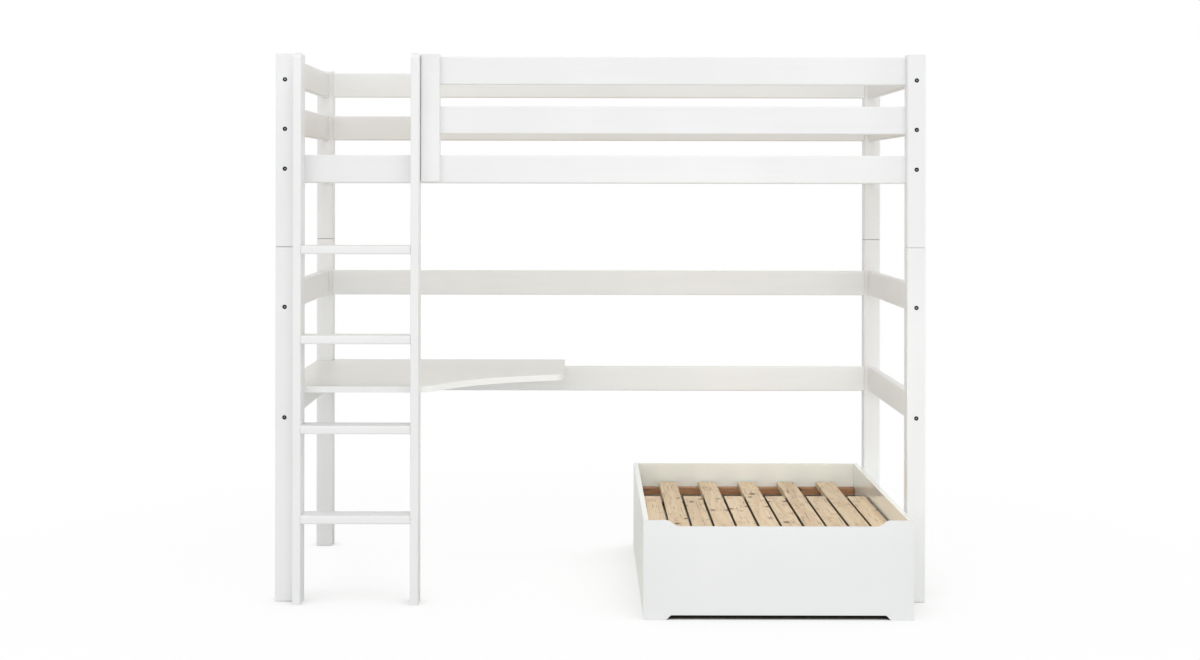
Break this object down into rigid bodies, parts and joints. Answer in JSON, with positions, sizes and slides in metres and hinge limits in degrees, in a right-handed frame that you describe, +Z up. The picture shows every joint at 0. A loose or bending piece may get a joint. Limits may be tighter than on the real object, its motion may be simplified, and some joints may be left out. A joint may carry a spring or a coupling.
{
  "type": "cabin bed",
  "caption": "Raised single bed on four square posts with guard rails, a ladder, a corner desk with a swept edge and a low slatted lounge that pulls out under it.",
  "frame": {"origin": "on the floor, under the middle of the whole bed with the lounge pushed in", "axes": "+X along the bed to the right as seen from the ladder side, +Y from the ladder side to the rear, +Z up"},
  "size_m": [2.09, 1.277, 1.76],
  "materials": {
    "white_wood": "white lacquered solid wood, satin",
    "white_board": "white lacquered board, satin",
    "pine": "planed knotty pine, untreated",
    "beech": "fluted beech dowel, untreated",
    "dark_steel": "black zinc plated steel",
    "zinc_steel": "bright zinc plated steel",
    "glide_plastic": "off-white polyethylene"
  },
  "bodies": {
    "bed_frame": {"post_lower_front_left": "white_wood", "post_lower_front_right": "white_wood", "post_lower_rear_left": "white_wood", "post_lower_rear_right": "white_wood", "post_upper_front_left": "white_wood", "post_upper_front_right": "white_wood", "post_upper_rear_left": "white_wood", "post_upper_rear_right": "white_wood", "post_pins": "zinc_steel", "end_rail_left_1": "white_wood", "end_rail_left_2": "white_wood", "end_rail_left_3": "white_wood", "end_rail_left_4": "white_wood", "end_rail_left_5": "white_wood", "end_rail_right_1": "white_wood", "end_rail_right_2": "white_wood", "end_rail_right_3": "white_wood", "end_rail_right_4": "white_wood", "end_rail_right_5": "white_wood", "desk_rail_rear": "white_wood", "brace_rail_rear": "white_wood", "bed_rail_rear": "white_wood", "guard_rail_rear_lower": "white_wood", "guard_rail_rear_upper": "white_wood", "bed_rail_front": "white_wood", "guard_rail_front_lower": "white_wood", "guard_rail_front_upper": "white_wood", "guard_post": "white_wood", "frame_bolts": "dark_steel", "barrel_nuts": "zinc_steel", "frame_dowels": "beech", "frame_screws": "zinc_steel", "ladder_side_left": "white_wood", "ladder_side_right": "white_wood", "ladder_step_1": "white_wood", "ladder_step_2": "white_wood", "ladder_step_3": "white_wood", "ladder_step_4": "white_wood", "slat_ledge_front": "pine", "slat_ledge_rear": "pine", "bed_slats": "pine", "slat_base_screws": "zinc_steel", "desk_top": "white_board", "desk_brackets": "zinc_steel", "desk_screws": "zinc_steel"},
    "lounge_base": {"lounge_rear_panel": "white_board", "lounge_side_left": "white_board", "lounge_side_right": "white_board", "lounge_rear_bearer": "pine", "lounge_long_slats": "pine", "lounge_base_dowels": "beech", "lounge_long_slat_screws": "zinc_steel"},
    "lounge_front": {"lounge_front_panel": "white_board", "lounge_runner_left": "pine", "lounge_runner_right": "pine", "lounge_front_bearer": "pine", "lounge_cross_bearer": "pine", "lounge_short_slats": "pine", "lounge_front_screws": "zinc_steel", "lounge_glides": "glide_plastic"}
  },
  "joints": [
    {"name": "lounge_slide", "type": "slide", "parent": "bed_frame", "child": "lounge_base", "axis": [0, -1, 0], "range_m": [0, 1]},
    {"name": "lounge_extend", "type": "slide", "parent": "lounge_base", "child": "lounge_front", "axis": [0, -1, 0], "range_m": [0, 0.75]}
  ]
}
